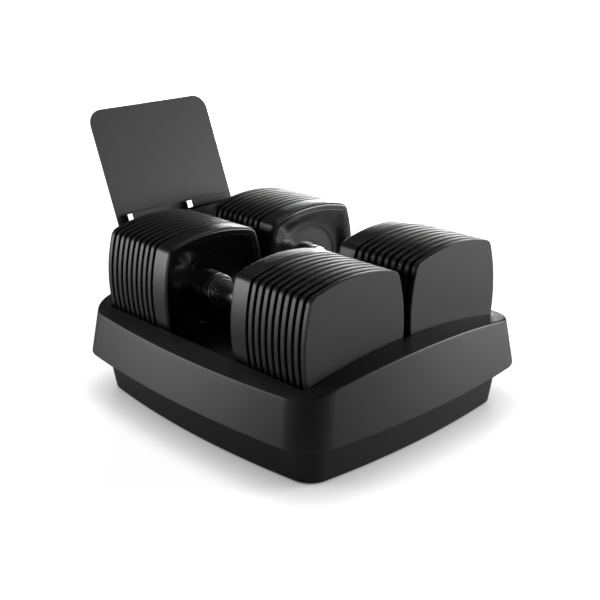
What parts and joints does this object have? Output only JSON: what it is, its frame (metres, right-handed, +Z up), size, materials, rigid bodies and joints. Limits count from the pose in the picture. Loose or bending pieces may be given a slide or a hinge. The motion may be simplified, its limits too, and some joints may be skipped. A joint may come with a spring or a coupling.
{
  "type": "adjustable dumbbell set",
  "caption": "Docked pair of plate-selecting dumbbells with rack-driven lock bars, in a motorised tray with a lift-out tablet stand and a selector knob.",
  "frame": {"origin": "on the floor under the middle of the tray, at the underside of the centre foot", "axes": "+X right, +Y away from the user along the grips, +Z up"},
  "size_m": [0.4742, 0.625, 0.3995],
  "materials": {
    "shell_plastic": "satin",
    "base_plastic": "satin",
    "deck_plastic": "matt",
    "plate_coat": "satin",
    "cover_plastic": "fine grain",
    "housing_plastic": "satin",
    "dish_plastic": "gloss",
    "collar_metal": "black chrome",
    "grip_steel": "knurled, dark",
    "lock_steel": "machined",
    "spindle_brass": "machined",
    "screw_steel": "black oxide",
    "foot_rubber": "matt",
    "motor_metal": "satin",
    "board": "solder resist",
    "inlet_plastic": "satin",
    "display_glass": "gloss",
    "knob_metal": "anodised",
    "tablet_metal": "powder coat"
  },
  "bodies": {
    "tray": {"tray_shell": "shell_plastic", "tray_deck": "deck_plastic", "base_pan": "base_plastic", "rubber_feet": "foot_rubber", "base_screws": "screw_steel", "drive_motors": "motor_metal", "control_board": "board", "power_inlet": "inlet_plastic", "console_pod": "base_plastic", "display_window": "display_glass", "tablet_bracket": "base_plastic"},
    "knob": {"selector_knob": "knob_metal"},
    "tablet_stand": {"tablet_plate": "tablet_metal"},
    "handle_a": {"grip_a": "grip_steel", "collars_a": "collar_metal", "housing_front_a": "housing_plastic", "housing_rear_a": "housing_plastic", "dish_covers_a": "dish_plastic", "cap_strips_a": "cover_plastic", "handle_screws_a": "screw_steel"},
    "lock_bar_front_a": {"lock_bar_front_a": "lock_steel"},
    "drive_shaft_front_a": {"drive_shaft_front_a": "lock_steel"},
    "spindle_front_a": {"spindle_a_front": "spindle_brass"},
    "lock_bar_rear_a": {"lock_bar_rear_a": "lock_steel"},
    "drive_shaft_rear_a": {"drive_shaft_rear_a": "lock_steel"},
    "spindle_rear_a": {"spindle_a_rear": "spindle_brass"},
    "plates_a_1": {"plate_a_1": "plate_coat"},
    "plates_a_2": {"plate_a_2": "plate_coat"},
    "plates_a_3": {"plate_a_3": "plate_coat"},
    "plates_a_4": {"plate_a_4": "plate_coat"},
    "plates_a_5": {"plate_a_5": "plate_coat"},
    "plates_a_6": {"plate_a_6": "plate_coat"},
    "plates_a_7": {"plate_a_7": "plate_coat"},
    "plates_a_8": {"plate_a_8": "plate_coat"},
    "plates_a_9": {"plate_a_9": "plate_coat", "end_covers_a": "cover_plastic"},
    "handle_b": {"grip_b": "grip_steel", "collars_b": "collar_metal", "housing_front_b": "housing_plastic", "housing_rear_b": "housing_plastic", "dish_covers_b": "dish_plastic", "cap_strips_b": "cover_plastic", "handle_screws_b": "screw_steel"},
    "lock_bar_front_b": {"lock_bar_front_b": "lock_steel"},
    "drive_shaft_front_b": {"drive_shaft_front_b": "lock_steel"},
    "spindle_front_b": {"spindle_b_front": "spindle_brass"},
    "lock_bar_rear_b": {"lock_bar_rear_b": "lock_steel"},
    "drive_shaft_rear_b": {"drive_shaft_rear_b": "lock_steel"},
    "spindle_rear_b": {"spindle_b_rear": "spindle_brass"},
    "plates_b_1": {"plate_b_1": "plate_coat"},
    "plates_b_2": {"plate_b_2": "plate_coat"},
    "plates_b_3": {"plate_b_3": "plate_coat"},
    "plates_b_4": {"plate_b_4": "plate_coat"},
    "plates_b_5": {"plate_b_5": "plate_coat"},
    "plates_b_6": {"plate_b_6": "plate_coat"},
    "plates_b_7": {"plate_b_7": "plate_coat"},
    "plates_b_8": {"plate_b_8": "plate_coat"},
    "plates_b_9": {"plate_b_9": "plate_coat", "end_covers_b": "cover_plastic"}
  },
  "joints": [
    {"name": "handle_a_lift", "type": "slide", "parent": "tray", "child": "handle_a", "axis": [0, 0, 1], "range_m": [0, 0.3]},
    {"name": "lock_front_a_slide", "type": "slide", "parent": "handle_a", "child": "lock_bar_front_a", "axis": [0, -1, 0], "range_m": [0, 0.1116]},
    {"name": "select_a_turn", "type": "hinge", "parent": "handle_a", "child": "drive_shaft_front_a", "pos_m": [-0.08038, -0.09, 0.173], "axis": [0, 0, 1], "range_deg": [0, 852.57]},
    {"name": "shaft_rear_a_turn", "type": "hinge", "parent": "handle_a", "child": "drive_shaft_rear_a", "pos_m": [-0.11263, 0.09, 0.173], "axis": [0, 0, 1], "range_deg": [0, 852.57]},
    {"name": "spindle_front_a_turn", "type": "hinge", "parent": "tray", "child": "spindle_front_a", "pos_m": [-0.08038, -0.09, 0.173], "axis": [0, 0, 1], "range_deg": [0, 852.57]},
    {"name": "spindle_rear_a_turn", "type": "hinge", "parent": "tray", "child": "spindle_rear_a", "pos_m": [-0.11263, 0.09, 0.173], "axis": [0, 0, 1], "range_deg": [0, 852.57]},
    {"name": "lock_rear_a_slide", "type": "slide", "parent": "handle_a", "child": "lock_bar_rear_a", "axis": [0, 1, 0], "range_m": [0, 0.1116]},
    {"name": "plates_a_1_lift", "type": "slide", "parent": "tray", "child": "plates_a_1", "axis": [0, 0, 1], "range_m": [0, 0.3]},
    {"name": "plates_a_2_lift", "type": "slide", "parent": "tray", "child": "plates_a_2", "axis": [0, 0, 1], "range_m": [0, 0.3]},
    {"name": "plates_a_3_lift", "type": "slide", "parent": "tray", "child": "plates_a_3", "axis": [0, 0, 1], "range_m": [0, 0.3]},
    {"name": "plates_a_4_lift", "type": "slide", "parent": "tray", "child": "plates_a_4", "axis": [0, 0, 1], "range_m": [0, 0.3]},
    {"name": "plates_a_5_lift", "type": "slide", "parent": "tray", "child": "plates_a_5", "axis": [0, 0, 1], "range_m": [0, 0.3]},
    {"name": "plates_a_6_lift", "type": "slide", "parent": "tray", "child": "plates_a_6", "axis": [0, 0, 1], "range_m": [0, 0.3]},
    {"name": "plates_a_7_lift", "type": "slide", "parent": "tray", "child": "plates_a_7", "axis": [0, 0, 1], "range_m": [0, 0.3]},
    {"name": "plates_a_8_lift", "type": "slide", "parent": "tray", "child": "plates_a_8", "axis": [0, 0, 1], "range_m": [0, 0.3]},
    {"name": "plates_a_9_lift", "type": "slide", "parent": "tray", "child": "plates_a_9", "axis": [0, 0, 1], "range_m": [0, 0.3]},
    {"name": "handle_b_lift", "type": "slide", "parent": "tray", "child": "handle_b", "axis": [0, 0, 1], "range_m": [0, 0.3]},
    {"name": "lock_front_b_slide", "type": "slide", "parent": "handle_b", "child": "lock_bar_front_b", "axis": [0, -1, 0], "range_m": [0, 0.1116]},
    {"name": "select_b_turn", "type": "hinge", "parent": "handle_b", "child": "drive_shaft_front_b", "pos_m": [0.11263, -0.09, 0.173], "axis": [0, 0, 1], "range_deg": [0, 852.57]},
    {"name": "shaft_rear_b_turn", "type": "hinge", "parent": "handle_b", "child": "drive_shaft_rear_b", "pos_m": [0.08038, 0.09, 0.173], "axis": [0, 0, 1], "range_deg": [0, 852.57]},
    {"name": "spindle_front_b_turn", "type": "hinge", "parent": "tray", "child": "spindle_front_b", "pos_m": [0.11263, -0.09, 0.173], "axis": [0, 0, 1], "range_deg": [0, 852.57]},
    {"name": "spindle_rear_b_turn", "type": "hinge", "parent": "tray", "child": "spindle_rear_b", "pos_m": [0.08038, 0.09, 0.173], "axis": [0, 0, 1], "range_deg": [0, 852.57]},
    {"name": "lock_rear_b_slide", "type": "slide", "parent": "handle_b", "child": "lock_bar_rear_b", "axis": [0, 1, 0], "range_m": [0, 0.1116]},
    {"name": "plates_b_1_lift", "type": "slide", "parent": "tray", "child": "plates_b_1", "axis": [0, 0, 1], "range_m": [0, 0.3]},
    {"name": "plates_b_2_lift", "type": "slide", "parent": "tray", "child": "plates_b_2", "axis": [0, 0, 1], "range_m": [0, 0.3]},
    {"name": "plates_b_3_lift", "type": "slide", "parent": "tray", "child": "plates_b_3", "axis": [0, 0, 1], "range_m": [0, 0.3]},
    {"name": "plates_b_4_lift", "type": "slide", "parent": "tray", "child": "plates_b_4", "axis": [0, 0, 1], "range_m": [0, 0.3]},
    {"name": "plates_b_5_lift", "type": "slide", "parent": "tray", "child": "plates_b_5", "axis": [0, 0, 1], "range_m": [0, 0.3]},
    {"name": "plates_b_6_lift", "type": "slide", "parent": "tray", "child": "plates_b_6", "axis": [0, 0, 1], "range_m": [0, 0.3]},
    {"name": "plates_b_7_lift", "type": "slide", "parent": "tray", "child": "plates_b_7", "axis": [0, 0, 1], "range_m": [0, 0.3]},
    {"name": "plates_b_8_lift", "type": "slide", "parent": "tray", "child": "plates_b_8", "axis": [0, 0, 1], "range_m": [0, 0.3]},
    {"name": "plates_b_9_lift", "type": "slide", "parent": "tray", "child": "plates_b_9", "axis": [0, 0, 1], "range_m": [0, 0.3]},
    {"name": "knob_turn", "type": "hinge", "parent": "tray", "child": "knob", "pos_m": [0, -0.022, 0.13], "axis": [0, 0, 1], "continuous": true},
    {"name": "tablet_stand_lift", "type": "slide", "parent": "tray", "child": "tablet_stand", "axis": [0, 0.3665, 0.9304], "range_m": [0, 0.05]}
  ],
  "couplings": [
    {"joint": "select_a_turn", "follows": "lock_front_a_slide", "rad_per_m": 133.33},
    {"joint": "shaft_rear_a_turn", "follows": "lock_front_a_slide", "rad_per_m": 133.33},
    {"joint": "spindle_front_a_turn", "follows": "lock_front_a_slide", "rad_per_m": 133.33},
    {"joint": "spindle_rear_a_turn", "follows": "lock_front_a_slide", "rad_per_m": 133.33},
    {"joint": "lock_rear_a_slide", "follows": "lock_front_a_slide", "ratio": 1},
    {"joint": "select_b_turn", "follows": "lock_front_b_slide", "rad_per_m": 133.33},
    {"joint": "shaft_rear_b_turn", "follows": "lock_front_b_slide", "rad_per_m": 133.33},
    {"joint": "spindle_front_b_turn", "follows": "lock_front_b_slide", "rad_per_m": 133.33},
    {"joint": "spindle_rear_b_turn", "follows": "lock_front_b_slide", "rad_per_m": 133.33},
    {"joint": "lock_rear_b_slide", "follows": "lock_front_b_slide", "ratio": 1}
  ]
}
